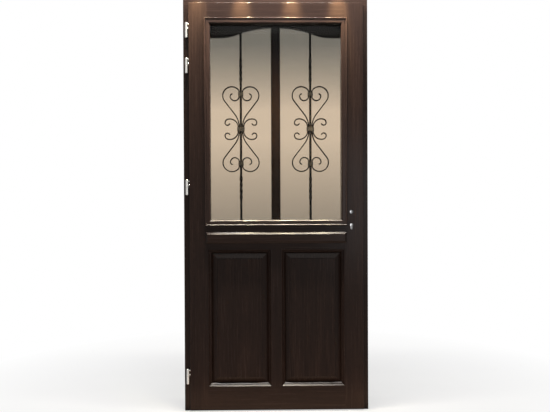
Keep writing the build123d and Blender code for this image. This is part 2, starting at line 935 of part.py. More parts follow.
def long_scroll_edges():
    """The left long scroll's upper half: off the bar, out, over, back beside the bar and into its curl."""
    beside = -(bar_size + strip_thickness) / 2
    crown_turn = 180 + long_scroll_bend_angle - long_scroll_close_angle
    lead = [
        (middle_collar_height / 2, 0),
        (grille_half_height * long_scroll_bend_share, long_scroll_bend_angle),
        (grille_half_height * long_scroll_run_share, 0),
        (grille_half_height * long_scroll_crown_share, -crown_turn),
    ]
    edges = run_path((beside, 0), lead)
    gap = beside - (edges[-1] @ 1).X
    close_radius = gap / (1 - math.cos(math.radians(long_scroll_close_angle)))
    rest = [
        (close_radius, -long_scroll_close_angle),
        (end_collar_height, 0),
        (grille_half_height * long_scroll_curl_share, -180),
        (grille_half_height * long_scroll_tip_share, -long_scroll_tip_angle),
    ]
    return run_path((beside, 0), lead + rest)


def short_scroll_edges():
    """The left short scroll's upper half, which leaves the middle collar outside the long one."""
    beside = -(bar_size + 3 * strip_thickness) / 2
    radii = [grille_half_height * share for share in short_scroll_shares]
    return run_path((beside, 0), [(middle_collar_height / 2, 0), *zip(radii, short_scroll_angles)])


def grille_plane(side):
    """The plane of one grille, with its origin at the middle collar."""
    return Plane(origin=(side * grille_x, grille_y, grille_height), x_dir=(1, 0, 0), z_dir=(0, -1, 0))


def make_scrolls(side):
    """The two long and two short scrolls of one grille."""
    solids = []
    for edges in (long_scroll_edges(), short_scroll_edges()):
        left = strip_solid(edges)
        solids += [left, mirror(left, about=Plane.YZ)]
    return group(*[grille_plane(side) * solid for solid in solids])


def make_collars(side):
    """The three collars that bind one grille."""
    end_height = end_collar_middle()
    places = (
        (0, middle_collar_height, 4 * strip_thickness),
        (end_height, end_collar_height, 2 * strip_thickness),
        (-end_height, end_collar_height, 2 * strip_thickness),
    )
    collars = []
    for height, tall, strips in places:
        width = bar_size + strips
        band = Rectangle(width + 2 * collar_band, bar_size + 2 * collar_band) - Rectangle(width, bar_size)
        low = Pos(side * grille_x, grille_y, grille_height + height - tall / 2)
        collars.append(low * extrude(band, amount=tall))
    return group(*collars)


def end_collar_middle():
    """Height of the upper collar over the middle one: half way down the run beside the bar."""
    run = long_scroll_edges()[5]
    return ((run @ 0).Y + (run @ 1).Y) / 2


# Hinges


def leaf_peg_heights(height):
    """Heights of the two pegs of an upper knuckle."""
    top = height + knuckle_height - peg_end
    return (top, top - peg_spacing)


def frame_peg_heights(height):
    """Heights of the two pegs of a lower knuckle."""
    bottom = height - knuckle_height + peg_end
    return (bottom, bottom + peg_spacing)


def make_leaf_knuckle(height):
    """The upper knuckle: a blind barrel on a bush, with two pegs into the leaf's edge."""
    bottom = height + hinge_play / 2 + bush_flange / 2
    length = height + knuckle_height - bottom
    bush_radius = pin_radius + pin_clearance + bush_wall
    barrel = rod((hinge_x, hinge_y, bottom), (0, 0, 1), barrel_radius, length)
    barrel = fillet(barrel.edges().filter_by(GeomType.CIRCLE).sort_by(Axis.Z)[-1], knuckle_dome)
    start = bush_radius + (barrel_radius - bush_radius) / 2
    for z in leaf_peg_heights(height):
        peg_length = hinge_side.overlap + peg_reach - hinge_x - start
        barrel += rod((hinge_x + start, hinge_y, z), (1, 0, 0), peg_radius, peg_length)
    return barrel - rod((hinge_x, hinge_y, bottom), (0, 0, 1), bush_radius + press_clearance, pin_reach)


def make_frame_knuckle(height):
    """The lower knuckle: a barrel that holds the pin, with two pegs into the jamb."""
    top = height - bush_flange / 2 - hinge_play / 2
    bottom = height - knuckle_height
    barrel = rod((hinge_x, hinge_y, bottom), (0, 0, 1), barrel_radius, top - bottom)
    barrel = fillet(barrel.edges().filter_by(GeomType.CIRCLE).sort_by(Axis.Z)[0], knuckle_dome)
    start = pin_radius + (barrel_radius - pin_radius) / 2
    for z in frame_peg_heights(height):
        peg_length = frame_front + peg_reach - hinge_y - start
        barrel += rod((hinge_x, hinge_y + start, z), (0, 1, 0), peg_radius, peg_length)
    foot = (hinge_x, hinge_y, top - pin_reach)
    return barrel - rod(foot, (0, 0, 1), pin_radius + press_clearance, pin_reach)


def make_hinge_pins():
    """The four pins, held by the lower knuckles."""
    pins = []
    for height in hinge_heights:
        foot = height - bush_flange / 2 - hinge_play / 2 - pin_reach
        pins.append(rod((hinge_x, hinge_y, foot), (0, 0, 1), pin_radius, 2 * pin_reach))
    return group(*pins)


def make_hinge_bushes():
    """The four flanged bushes that turn on the pins with the leaf."""
    bushes = []
    outer = pin_radius + pin_clearance + bush_wall
    for height in hinge_heights:
        foot = (hinge_x, hinge_y, height + hinge_play / 2 - bush_flange / 2)
        bush = rod(foot, (0, 0, 1), barrel_radius - bush_inset, bush_flange)
        bush += rod(foot, (0, 0, 1), outer, pin_reach)
        bushes.append(bush - rod(foot, (0, 0, 1), pin_radius + pin_clearance, pin_reach))
    return group(*bushes)


# Lock


def main_case_z():
    """Heights of the main lock case."""
    return (cylinder_height - case_below_cylinder, spindle_height + case_above_spindle)


def case_places():
    """Heights and depth of each case: main, lower and upper."""
    half = outer_case_height / 2
    outer = [((z - half, z + half), outer_case_depth) for z in (lower_bolt_height, upper_bolt_height)]
    return [(main_case_z(), case_depth)] + outer


def works_limits():
    """Y limits of the works inside the cases."""
    half = case_thickness / 2 - case_wall - works_clearance
    return (works_y - half, works_y + half)


def case_shell(z, depth, rod_ends, windows):
    """A pressed case, with windows for its bolts in front and a slot where a rod comes in."""
    y = (works_y - case_thickness / 2, works_y + case_thickness / 2)
    shell = block((faceplate_back - depth, faceplate_back), y, z)
    inside_x = inset((faceplate_back - depth, faceplate_back), case_wall)
    shell -= block(inside_x, inset(y, case_wall), inset(z, case_wall))
    for window in windows:
        shell -= block((inside_x[1], faceplate_back), inset(y, case_wall), window)
    half = rod_width / 2 + works_clearance
    slot_x = (rod_front - rod_thickness - works_clearance, inside_x[1])
    for end in rod_ends:
        slot_z = (end, end + case_wall * rod_side(end, z))
        shell -= block(slot_x, (works_y - half, works_y + half), slot_z)
    return shell


def rod_side(end, z):
    """Whether a case's end is its lower (1) or upper (-1) one, so that a slot cuts inwards."""
    return 1 if end == z[0] else -1


def make_lock_case():
    """The main case with its holes for the follower and the cylinder."""
    z = main_case_z()
    windows = bolt_windows()
    case = case_shell(z, case_depth, z, (windows.latch, windows.dead))
    y = (works_y - case_thickness / 2, works_y + case_thickness / 2)
    case -= rod((spindle_x, y[0], spindle_height), (0, 1, 0), spindle_hole_radius, case_thickness)
    return case - cylinder_hole(y)


def make_outer_cases():
    """The two outer bolt cases, each with a rod from the main case."""
    (_, _), (lower, depth), (upper, _) = case_places()
    windows = bolt_windows()
    lower_case = case_shell(lower, depth, lower[1:], (windows.lower,))
    return group(lower_case, case_shell(upper, depth, upper[:1], (windows.upper,)))


def bolt_window(middle, height):
    """Heights of the window that a bolt or latch passes through."""
    half = height / 2 + works_clearance
    return (middle - half, middle + half)


def bolt_windows():
    """Heights of the windows of the latch, the dead bolt and the two outer bolts."""
    return SimpleNamespace(
        latch=bolt_window(spindle_height + latch_rise, latch_height),
        dead=bolt_window(spindle_height - dead_bolt_drop, dead_bolt_height),
        lower=bolt_window(lower_bolt_height, outer_bolt_height),
        upper=bolt_window(upper_bolt_height, outer_bolt_height),
    )


def make_faceplate():
    """The long faceplate in the leaf's edge, with a window for each bolt."""
    x = (faceplate_back, lock_side.body)
    plate = rounded_plate(
        x, works_y, faceplate_width, (faceplate_bottom, faceplate_top), faceplate_corner
    )
    y = (works_limits()[0] - works_clearance, works_limits()[1] + works_clearance)
    for window in vars(bolt_windows()).values():
        plate -= block(x, y, window)
    return plate


def make_follower():
    """The handle follower: a hub with a square hole, an inner flange and an arm behind the latch's lug."""
    hub_radius = spindle_hole_radius - follower_clearance
    half = case_thickness / 2
    hub = rod((spindle_x, works_y - half, spindle_height), (0, 1, 0), hub_radius, case_thickness)
    y = works_limits()
    hub += rod((spindle_x, y[0], spindle_height), (0, 1, 0), hub_radius + follower_flange, y[1] - y[0])
    arm_half = follower_arm_width / 2
    arm_z = (spindle_height, spindle_height + follower_arm_length)
    hub += block((spindle_x - arm_half, spindle_x + arm_half), y, arm_z)
    square = spindle_square / 2
    return hub - block(
        (spindle_x - square, spindle_x + square),
        (works_y - half, works_y + half),
        (spindle_height - square, spindle_height + square),
    )


def make_latch():
    """The latch bolt: a bevelled head, a tail over the follower and a lug beside its arm."""
    y = works_limits()
    middle = spindle_height + latch_rise
    nose = lock_side.body + latch_reach
    head = prism_z(
        [
            (lock_side.body - latch_length, y[0]),
            (nose, y[0]),
            (nose, y[0] + latch_nose),
            (lock_side.body, y[1]),
            (lock_side.body - latch_length, y[1]),
        ],
        (middle - latch_height / 2, middle + latch_height / 2),
    )
    lug_right = spindle_x - follower_arm_width / 2 - works_clearance
    lug_left = lug_right - latch_lug_width
    tail_z = (middle - latch_tail_height / 2, middle + latch_tail_height / 2)
    tail = block((lug_left, lock_side.body - latch_length), y, tail_z)
    return head + tail + block((lug_left, lug_right), y, (middle - latch_lug_drop, tail_z[1]))


def make_dead_bolt(middle, height, length):
    """A square bolt, flush with the faceplate when it is drawn back."""
    head = lock_side.body - bolt_inset
    return block((head - length, head), works_limits(), (middle - height / 2, middle + height / 2))


def make_rods():
    """The two flat rods behind the faceplate, which link the main case with the outer ones."""
    main = main_case_z()
    half = outer_case_height / 2
    x = (rod_front - rod_thickness, rod_front)
    y = (works_y - rod_width / 2, works_y + rod_width / 2)
    lower = block(x, y, (lower_bolt_height + half - rod_entry, main[0] + rod_entry))
    return group(lower, block(x, y, (main[1] - rod_entry, upper_bolt_height - half + rod_entry)))


def strike_window_y():
    """Y limits of the hole behind a strike plate's window."""
    y = works_limits()
    return (y[0] - strike_clearance, y[1] + strike_clearance)


def strike_layouts():
    """Bottom, top and window heights of each strike plate: lower, centre and upper."""
    windows = bolt_windows()
    layouts = []
    for group_of in ((windows.lower,), (windows.dead, windows.latch), (windows.upper,)):
        holes = [(low - strike_clearance, high + strike_clearance) for low, high in group_of]
        layouts.append((holes[0][0] - strike_margin, holes[-1][1] + strike_margin, holes))
    return layouts


def strike_plate_blank(bottom, top):
    """A strike plate's outline, flush with the rebate."""
    x = (lock_side.rebate, lock_side.rebate + strike_thickness)
    return rounded_plate(x, works_y, strike_width, (bottom, top), strike_corner)


def make_strike(layout):
    """A strike plate let in flush with the rebate."""
    bottom, top, windows = layout
    plate = strike_plate_blank(bottom, top)
    for window in windows:
        plate -= block((lock_side.rebate, lock_side.rebate + strike_thickness), strike_window_y(), window)
    return plate


def make_parts():
    """Every piece by the name of its node."""
    profile = bead_profile()
    bead_x = (-half_opening - bead_lap, half_opening + bead_lap)
    bead_z = (glass_opening_bottom - bead_lap, glass_opening_top + bead_lap)
    strikes = strike_layouts()
    top_rail = make_top_rail()
    windows = bolt_windows()
    parts = {
        "frame_head": make_head(),
        "frame_hinge_jamb": make_hinge_jamb(),
        "frame_lock_jamb": make_lock_jamb(),
        "threshold": make_threshold(),
        "frame_gaskets": make_frame_gasket(),
        "centre_strike": make_strike(strikes[1]),
        "outer_strikes": group(make_strike(strikes[0]), make_strike(strikes[2])),
        "hinge_stile": make_hinge_stile(),
        "lock_stile": make_lock_stile(),
        "top_rail": top_rail,
        "mid_rail": make_mid_rail(),
        "bottom_rail": make_bottom_rail(),
        "lower_muntin": make_muntin(),
        "outer_mullion": make_mullion(top_rail),
        "waist_moulding": make_waist(),
        "weather_bar": make_weather_bar(),
        "bottom_seal": seal_block(socket_clearance, threshold_low + seal_gap),
        "inner_pane": make_pane(unit_front),
        "outer_pane": make_pane(unit_back - pane_thickness),
        "pane_spacer": make_spacer(),
        "pane_edge_seal": make_edge_seal(),
        "glazing_gaskets": make_glazing_gaskets(),
        "setting_blocks": make_setting_blocks(),
        "hinge_pins": make_hinge_pins(),
        "hinge_bushes": make_hinge_bushes(),
        "lock_faceplate": make_faceplate(),
        "lock_case": make_lock_case(),
        "outer_bolt_cases": make_outer_cases(),
        "lock_follower": make_follower(),
        "latch_bolt": make_latch(),
        "dead_bolt": make_dead_bolt(spindle_height - dead_bolt_drop, dead_bolt_height, dead_bolt_length),
        "outer_bolts": group(
            make_dead_bolt(lower_bolt_height, outer_bolt_height, dead_bolt_length - bolt_throw / 2),
            make_dead_bolt(upper_bolt_height, outer_bolt_height, dead_bolt_length - bolt_throw / 2),
        ),
        "lock_rods": make_rods(),
    }
    for side, bead in mitred_frame(profile, bead_x, bead_z).items():
        parts[f"glazing_bead_{side}"] = bead
    for number, height in enumerate(hinge_heights, start=1):
        parts[f"hinge_{number}_frame_knuckle"] = make_frame_knuckle(height)
        parts[f"hinge_{number}_leaf_knuckle"] = make_leaf_knuckle(height)
    for name, side in (("left", -1), ("right", 1)):
        parts[f"{name}_panel"] = make_panel(side)
        parts[f"{name}_panel_moulding"] = group(
            *mitred_frame(moulding_profile(), *panel_limits(side)).values()
        )
        parts[f"{name}_grille_bar"] = make_grille_bar(side)
        parts[f"{name}_grille_scrolls"] = make_scrolls(side)
        parts[f"{name}_grille_collars"] = make_collars(side)
    return parts


os.makedirs("parts", exist_ok=True)
for name, shape in make_parts().items():
    export_step(shape, f"parts/{name}.step")
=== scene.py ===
import math

import bmesh
import bpy
from mathutils import Matrix, Vector


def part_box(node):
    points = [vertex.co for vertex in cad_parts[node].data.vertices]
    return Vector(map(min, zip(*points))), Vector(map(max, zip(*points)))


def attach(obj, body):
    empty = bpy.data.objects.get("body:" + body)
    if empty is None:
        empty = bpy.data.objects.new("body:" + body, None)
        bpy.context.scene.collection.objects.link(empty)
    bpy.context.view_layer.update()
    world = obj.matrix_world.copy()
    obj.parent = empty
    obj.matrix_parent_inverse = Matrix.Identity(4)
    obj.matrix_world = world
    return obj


# A half-glazed wooden entrance door in its frame, in metres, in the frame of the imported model.
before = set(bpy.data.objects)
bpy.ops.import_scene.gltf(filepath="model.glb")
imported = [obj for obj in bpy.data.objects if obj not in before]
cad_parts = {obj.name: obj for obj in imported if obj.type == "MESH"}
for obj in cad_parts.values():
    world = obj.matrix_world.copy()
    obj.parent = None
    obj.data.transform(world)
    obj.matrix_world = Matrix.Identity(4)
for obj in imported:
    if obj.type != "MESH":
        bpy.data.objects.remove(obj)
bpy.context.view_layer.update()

X_AXIS, Z_AXIS = 0, 2
WHITE = (1.0, 1.0, 1.0, 1.0)

# Photograph and camera
IMAGE_WIDTH = 550
FOCAL_PIXELS = 631.8
CAMERA_PLACE = (-0.056, -3.404, 1.12)
CAMERA_PITCH = math.radians(0.51)
CAMERA_YAW = math.radians(0.855)
CAMERA_ROLL = math.radians(-0.23)
SENSOR_WIDTH = 36.0

# Soft arrises
WOOD_ARRIS = 0.0009
IRON_ARRIS = 0.0007
METAL_ARRIS = 0.0004
ARRIS_SEGMENTS = 2
ARRIS_ANGLE = math.radians(40)
WELD_DISTANCE = 1e-6

# Screw heads: rings from the foot up, as shares of the radius and of the dome's height
SCREW_RINGS = ((1.0, -0.35), (1.0, 0.12), (0.8, 0.62), (0.5, 0.9), (0.22, 1.0))
SCREW_RADIUS = 0.0041
SCREW_DOME = 0.0011
SCREW_SLOT = 0.0009
SCREW_REACH = 0.0048
SCREW_CUTTER = 1.3 * SCREW_DOME
SCREW_SIDES = 24
SCREW_TURN = math.radians(37)
SCREW_SHARP = math.radians(35)

# Places of the screws on the faceplate and the strike plates
PLATE_END = 0.012
OUTER_CASE_REACH = 0.121
STRIKE_END = 0.016
STRIKE_WEB_DROP = 0.012
OUTER_STRIKE_LENGTH = 0.119

# Rectangular lamps: name, size, place, target, power and colour.
# The bounce stands for warm light that the ground before the door throws back.
LAMPS = (
    ("key", (2.4, 1.2), (0.3, -2.8, 3.32), (0.3, 0.0, 1.5), 22.0, (1.0, 0.97, 0.93)),
    ("side", (0.3, 1.2), (0.84, -2.8, 1.15), (0.42, 0.0, 1.15), 6.0, (0.88, 0.94, 1.0)),
    ("back", (2.4, 1.6), (-0.8, 2.6, 3.2), (0.0, 0.0, 1.1), 60.0, (1.0, 1.0, 1.0)),
    ("strip", (1.2, 0.07), (0.0, -0.28, 2.75), (0.0, -0.05, 2.0), 100.0, (1.0, 0.95, 0.9)),
    ("bounce", (1.3, 0.34), (0.0, -0.25, 0.004), (0.0, -0.25, 1.0), 1.8, (1.0, 0.62, 0.36)),
)

# Four small lamps close over the head: places across the door, and shares of the full power
WASHER_PLACES = (-0.415, -0.18, 0.086, 0.33)
WASHER_SHARES = (0.6, 1.0, 1.0, 1.0)
WASHER_POWER = 130.0
WASHER_COLOUR = (1.0, 0.86, 0.52)
WASHER_OUT = -0.115
WASHER_HEIGHT = 2.36
WASHER_TARGET_OUT = -0.06
WASHER_TARGET_HEIGHT = 2.1
WASHER_SPREAD = math.radians(30)
WASHER_BLEND = 1.0
WASHER_BULB = 0.02

# World and floor: the floor's whiteness grows from a share near the door to full further away
AMBIENT = 0.12
FLOOR_HALF = 12.0
FLOOR_WHITE = 0.6
FLOOR_FADE = (0.5, 2.2)

# Tints of one pane along its height, darker towards its head and foot as painted shade, and of one
# of its faces for the rays of lamps
GLASS_HEAD_PAINTED_SHADE = (0.415, 0.4, 0.365)
GLASS_MIDDLE = (0.785, 0.70, 0.597)
GLASS_FOOT_PAINTED_SHADE = (0.55, 0.50, 0.435)
GLASS_TINTS_WITH_PAINTED_SHADE = ((0.0, GLASS_FOOT_PAINTED_SHADE), (0.42, GLASS_MIDDLE), (0.56, GLASS_MIDDLE), (0.9, GLASS_HEAD_PAINTED_SHADE))
GLASS_FACE = (0.78, 0.79, 0.79, 1.0)
GLASS_IOR = 1.15

# Texture scales of the wood's streaks, pores and broad figure, along and across the grain
GRAIN_SCALES = ((4.0, 120.0), (35.0, 700.0), (1.2, 14.0))

# Share of the streaks in the wood's colour; the figure has the rest
STREAK_SHARE = 0.6
STAIN = (
    (0.30, (0.0115, 0.0066, 0.0052)),
    (0.50, (0.0183, 0.0104, 0.0079)),
    (0.72, (0.0290, 0.0163, 0.0120)),
)

# How boards differ: their lightness, and how far their grain is shifted
BOARD_TONES = (0.88, 1.14)
BOARD_SHIFT = 40.0

# Depth and strength of the wood's relief
STREAK_BUMP = (0.0003, 0.08)
PORE_BUMP = (0.0002, 0.12)

# Specular level of the wood's coat, and of the glossier glazing beads, which are also made lighter
# as painted light
WOOD_GLOSS = 0.075
BEAD_GLOSS = 0.1
BEAD_PAINTED_LIGHT = 1.35

# Dark, middle and light tones of the iron's paint, and the lighter, greyer tones of the collars,
# which are a painted highlight
IRON_TONES = ((0.004, 0.004, 0.0042), (0.007, 0.0072, 0.0076), (0.0125, 0.013, 0.0136))
COLLAR_PAINTED_HIGHLIGHT_TONES = ((0.035, 0.039, 0.045), (0.07, 0.078, 0.09), (0.14, 0.155, 0.175))

# Places of the vector sockets on a Mix node
MIX_FIRST, MIX_SECOND, MIX_RESULT = 4, 5, 1

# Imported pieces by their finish
VERTICAL_GRAIN = (
    "frame_hinge_jamb",
    "frame_lock_jamb",
    "hinge_stile",
    "lock_stile",
    "lower_muntin",
    "outer_mullion",
    "left_panel",
    "right_panel",
)
HORIZONTAL_GRAIN = (
    "frame_head",
    "top_rail",
    "mid_rail",
    "bottom_rail",
    "waist_moulding",
    "weather_bar",
)
MITRED_GRAIN = ("left_panel_moulding", "right_panel_moulding")
UPRIGHT_BEADS = ("glazing_bead_left", "glazing_bead_right")
LEVEL_BEADS = ("glazing_bead_top", "glazing_bead_bottom")
ZINC_BOLTS = ("latch_bolt", "dead_bolt", "outer_bolts")
ZINC_PLAIN = (
    "hinge_pins",
    "centre_strike",
    "outer_strikes",
    "lock_faceplate",
    "lock_case",
    "outer_bolt_cases",
    "lock_follower",
    "lock_rods",
)
RUBBER_SEALS = ("frame_gaskets", "bottom_seal", "glazing_gaskets")
PANES = ("inner_pane", "outer_pane")


# Materials


class Shader:
    """A material with one Principled shader and the nodes that drive it."""

    def __init__(self, name, **constants):
        self.material = bpy.data.materials.new(name)
        self.material.use_nodes = True
        self.tree = self.material.node_tree
        self.principled = self.tree.nodes["Principled BSDF"]
        self.set(self.principled, constants)
        self.coords = self.add("ShaderNodeTexCoord").outputs["Object"]

    def fill(self, socket, value):
        """Give a socket a constant, or link it to another socket."""
        if isinstance(value, bpy.types.NodeSocket):
            self.tree.links.new(value, socket)
        else:
            socket.default_value = value

    def set(self, node, values):
        """Fill a node's sockets by their names."""
        for key, value in values.items():
            self.fill(node.inputs[key.replace("_", " ")], value)

    def set_at(self, node, values):
        """Fill a node's first sockets in their order."""
        for socket, value in zip(node.inputs, values):
            self.fill(socket, value)

    def add(self, kind, settings=None, **values):
        """A new node, with its settings and its sockets."""
        node = self.tree.nodes.new(kind)
        for key, value in (settings or {}).items():
            setattr(node, key, value)
        self.set(node, values)
        return node

    def drive(self, **sockets):
        """Link or set sockets of the Principled shader."""
        self.set(self.principled, sockets)
        return self

    def math(self, operation, *values):
        """One sum, product or comparison."""
        node = self.add("ShaderNodeMath", {"operation": operation})
        self.set_at(node, values)
        return node.outputs[0]

    def distance(self, first, second):
        """How far two values are apart."""
        return self.math("ABSOLUTE", self.math("SUBTRACT", first, second))

    def scaled(self, scale, coords=None):
        """The object's coordinates, stretched along the axes."""
        vector = coords or self.coords
        return self.add("ShaderNodeMapping", Vector=vector, Scale=scale).outputs[0]

    def noise(self, vector, scale=1.0, detail=4.0, roughness=0.55):
        """A noise from 0 to 1."""
        values = {"Scale": scale, "Detail": detail, "Roughness": roughness}
        return self.add("ShaderNodeTexNoise", Vector=vector, **values).outputs[0]

    def spread(self, value, low, high, start=0.0, end=1.0):
        """A value's range, mapped to another."""
        node = self.add("ShaderNodeMapRange")
        self.set_at(node, (value, start, end, low, high))
        return node.outputs[0]

    def ramp(self, value, *stops):
        """Colours along a value: (place, colour) stops."""
        node = self.add("ShaderNodeValToRGB", Fac=value)
        elements = node.color_ramp.elements
        while len(elements) < len(stops):
            elements.new(1.0)
        for element, (place, colour) in zip(elements, stops):
            element.position = place
            element.color = (*colour, 1.0)
        return node.outputs[0]

    def bump(self, height, distance, strength, under=None):
        """A bump, over another one if that is given."""
        node = self.add("ShaderNodeBump", Height=height, Distance=distance, Strength=strength)
        if under:
            self.fill(node.inputs["Normal"], under)
        return node.outputs[0]

    def mix_surface(self, share, first, second):
        """Show two shaders, mixed by a share of the second."""
        mixed = self.add("ShaderNodeMixShader")
        self.set_at(mixed, (share, first, second))
        self.fill(self.tree.nodes["Material Output"].inputs["Surface"], mixed.outputs[0])


def shifted_coords(shader):
    """Coordinates that differ from board to board, with the board's own number."""
    number = shader.add("ShaderNodeObjectInfo").outputs["Random"]
    away = shader.math("MULTIPLY", number, BOARD_SHIFT)
    shift = shader.add("ShaderNodeCombineXYZ", X=away, Y=away, Z=away).outputs[0]
    moved = shader.add("ShaderNodeVectorMath", {"operation": "ADD"})
    shader.set_at(moved, (shader.coords, shift))
    return moved.outputs[0], number


def stretch(axis, along, across):
    """A texture scale that is long along one axis."""
    return tuple(along if place == axis else across for place in range(3))


def finish_wood(shader, vectors, number, painted_light_factor=1.0, gloss=WOOD_GLOSS):
    """Dark brown stain over fine straight grain: streaks, pores and a satin coat."""
    streak_vector, pore_vector, figure_vector = vectors
    streaks = shader.noise(streak_vector, detail=6.0, roughness=0.62)
    pores = shader.noise(pore_vector, detail=3.0, roughness=0.5)
    figure = shader.noise(figure_vector, detail=3.0, roughness=0.6)
    streak_part = shader.math("MULTIPLY", streaks, STREAK_SHARE)
    figure_part = shader.math("MULTIPLY", figure, 1.0 - STREAK_SHARE)
    stain = shader.ramp(shader.math("ADD", streak_part, figure_part), *STAIN)
    pore_dark = shader.spread(pores, 0.55, 1.0, 0.30, 0.46)
    # Lightness of each board; a factor above one makes a whole piece lighter as painted light, as
    # on the beads
    lightness = shader.spread(number, *(share * painted_light_factor for share in BOARD_TONES))
    board = shader.math("MULTIPLY", pore_dark, lightness)
    toned = shader.add("ShaderNodeHueSaturation", Color=stain, Value=board).outputs[0]
    grain_bump = shader.bump(streaks, *STREAK_BUMP)
    return shader.drive(
        Base_Color=toned,
        Roughness=shader.spread(streaks, 0.2, 0.3, 0.3, 0.7),
        Normal=shader.bump(pore_dark, *PORE_BUMP, under=grain_bump),
        Specular_IOR_Level=gloss,
    ).material


def wood(name, axis, **finish):
    """Wood whose grain runs along one axis."""
    shader = Shader(name)
    coords, number = shifted_coords(shader)
    scales = [stretch(axis, along, across) for along, across in GRAIN_SCALES]
    return finish_wood(shader, [shader.scaled(scale, coords) for scale in scales], number, **finish)


def mitred_wood(name, node):
    """Wood of a mitred frame: the grain turns at its corners, found from a node's box."""
    low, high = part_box(node)
    centre, half = (low + high) / 2, (high - low) / 2
    shader = Shader(name)
    coords, number = shifted_coords(shader)
    place = shader.add("ShaderNodeSeparateXYZ", Vector=shader.coords)
    across = shader.math("ABSOLUTE", place.outputs["X"])
    depth_x = shader.math("SUBTRACT", half.x, shader.distance(across, abs(centre.x)))
    depth_z = shader.math("SUBTRACT", half.z, shader.distance(place.outputs["Z"], centre.z))
    upright = shader.math("LESS_THAN", depth_x, depth_z)
    vectors = []
    for scales in GRAIN_SCALES:
        mix = shader.add("ShaderNodeMix", {"data_type": "VECTOR"}, Factor=upright)
        for socket, axis in ((MIX_FIRST, X_AXIS), (MIX_SECOND, Z_AXIS)):
            shader.fill(mix.inputs[socket], shader.scaled(stretch(axis, *scales), coords))
        vectors.append(mix.outputs[MIX_RESULT])
    return finish_wood(shader, vectors, number)


def wrought_iron(name, dark, middle, light):
    """Painted iron with hammer marks and a dull sheen."""
    shader = Shader(name, Specular_IOR_Level=0.12)
    marks = shader.noise(shader.coords, scale=160.0, detail=2.0, roughness=0.5)
    grit = shader.noise(shader.coords, scale=1500.0, detail=2.0, roughness=0.6)
    return shader.drive(
        Base_Color=shader.ramp(marks, (0.30, dark), (0.55, middle), (0.80, light)),
        Roughness=shader.spread(marks, 0.42, 0.62),
        Normal=shader.bump(grit, 0.0001, 0.4, under=shader.bump(marks, 0.0008, 0.5)),
    ).material


def brushed_metal(name, dark, light, axis, low_roughness, high_roughness):
    """Metal with fine brush lines along one axis."""
    shader = Shader(name, Metallic=1.0)
    lines = shader.noise(shader.scaled(stretch(axis, 20.0, 2600.0)), detail=3.0)
    cloud = shader.noise(shader.coords, scale=45.0, detail=3.0)
    mean = shader.math("MULTIPLY", shader.math("ADD", lines, cloud), 0.5)
    return shader.drive(
        Base_Color=shader.ramp(mean, (0.3, dark), (0.7, light)),
        Roughness=shader.spread(lines, low_roughness, high_roughness, 0.25, 0.75),
        Normal=shader.bump(lines, 0.00005, 0.5),
    ).material


def zinc_plate():
    """Bright zinc plating, a little cloudy."""
    shader = Shader("zinc_plate", Metallic=1.0)
    cloud = shader.noise(shader.coords, scale=70.0, detail=5.0, roughness=0.65)
    speck = shader.noise(shader.coords, scale=900.0, detail=2.0)
    return shader.drive(
        Base_Color=shader.ramp(cloud, (0.3, (0.36, 0.37, 0.38)), (0.7, (0.58, 0.585, 0.58))),
        Roughness=shader.spread(cloud, 0.28, 0.46, 0.3, 0.7),
        Normal=shader.bump(speck, 0.00004, 0.5),
    ).material


def rubber(name, dark, light):
    """Soft black extrusion with a bloom."""
    shader = Shader(name, Specular_IOR_Level=0.3)
    cloud = shader.noise(shader.coords, scale=60.0)
    grit = shader.noise(shader.coords, scale=1800.0, detail=2.0)
    return shader.drive(
        Base_Color=shader.ramp(cloud, (0.3, dark), (0.75, light)),
        Roughness=shader.spread(cloud, 0.6, 0.82),
        Normal=shader.bump(grit, 0.00006, 0.5),
    ).material


def pale_nylon():
    """Pale moulded plastic."""
    shader = Shader("nylon", Specular_IOR_Level=0.4)
    cloud = shader.noise(shader.coords, scale=80.0)
    return shader.drive(
        Base_Color=shader.ramp(cloud, (0.3, (0.50, 0.50, 0.47)), (0.7, (0.60, 0.60, 0.57))),
        Roughness=shader.spread(cloud, 0.38, 0.52),
        Normal=shader.bump(cloud, 0.0001, 0.3),
    ).material


def float_glass():
    """Glass of a warm colour, darker towards its head and foot as painted shade, that lets lamps
    through.
    """
    low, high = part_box("inner_pane")
    shader = Shader("float_glass", Transmission_Weight=1.0, IOR=GLASS_IOR)
    height = shader.add("ShaderNodeSeparateXYZ", Vector=shader.coords).outputs["Z"]
    # Colour along the pane's height: darker towards the head and foot as painted shade
    tint_with_painted_shade = shader.ramp(shader.spread(height, 0.0, 1.0, low.z, high.z), *GLASS_TINTS_WITH_PAINTED_SHADE)
    bloom = shader.noise(shader.coords, scale=6.0)
    shader.drive(Base_Color=tint_with_painted_shade, Roughness=shader.spread(bloom, 0.0, 0.02, 0.45, 0.8))
    lamps = shader.add("ShaderNodeLightPath").outputs["Is Shadow Ray"]
    clear = shader.add("ShaderNodeBsdfTransparent", Color=GLASS_FACE).outputs[0]
    shader.mix_surface(lamps, shader.principled.outputs[0], clear)
    return shader.material


def seen_rays(tree):
    """Whether the eye, a mirror or a pane looks at a surface."""
    path = tree.nodes.new("ShaderNodeLightPath")
    seen = path.outputs["Is Camera Ray"]
    for name in ("Is Glossy Ray", "Is Transmission Ray"):
        both = tree.nodes.new("ShaderNodeMath")
        both.operation = "MAXIMUM"
        tree.links.new(seen, both.inputs[0])
        tree.links.new(path.outputs[name], both.inputs[1])
        seen = both.outputs[0]
    return seen


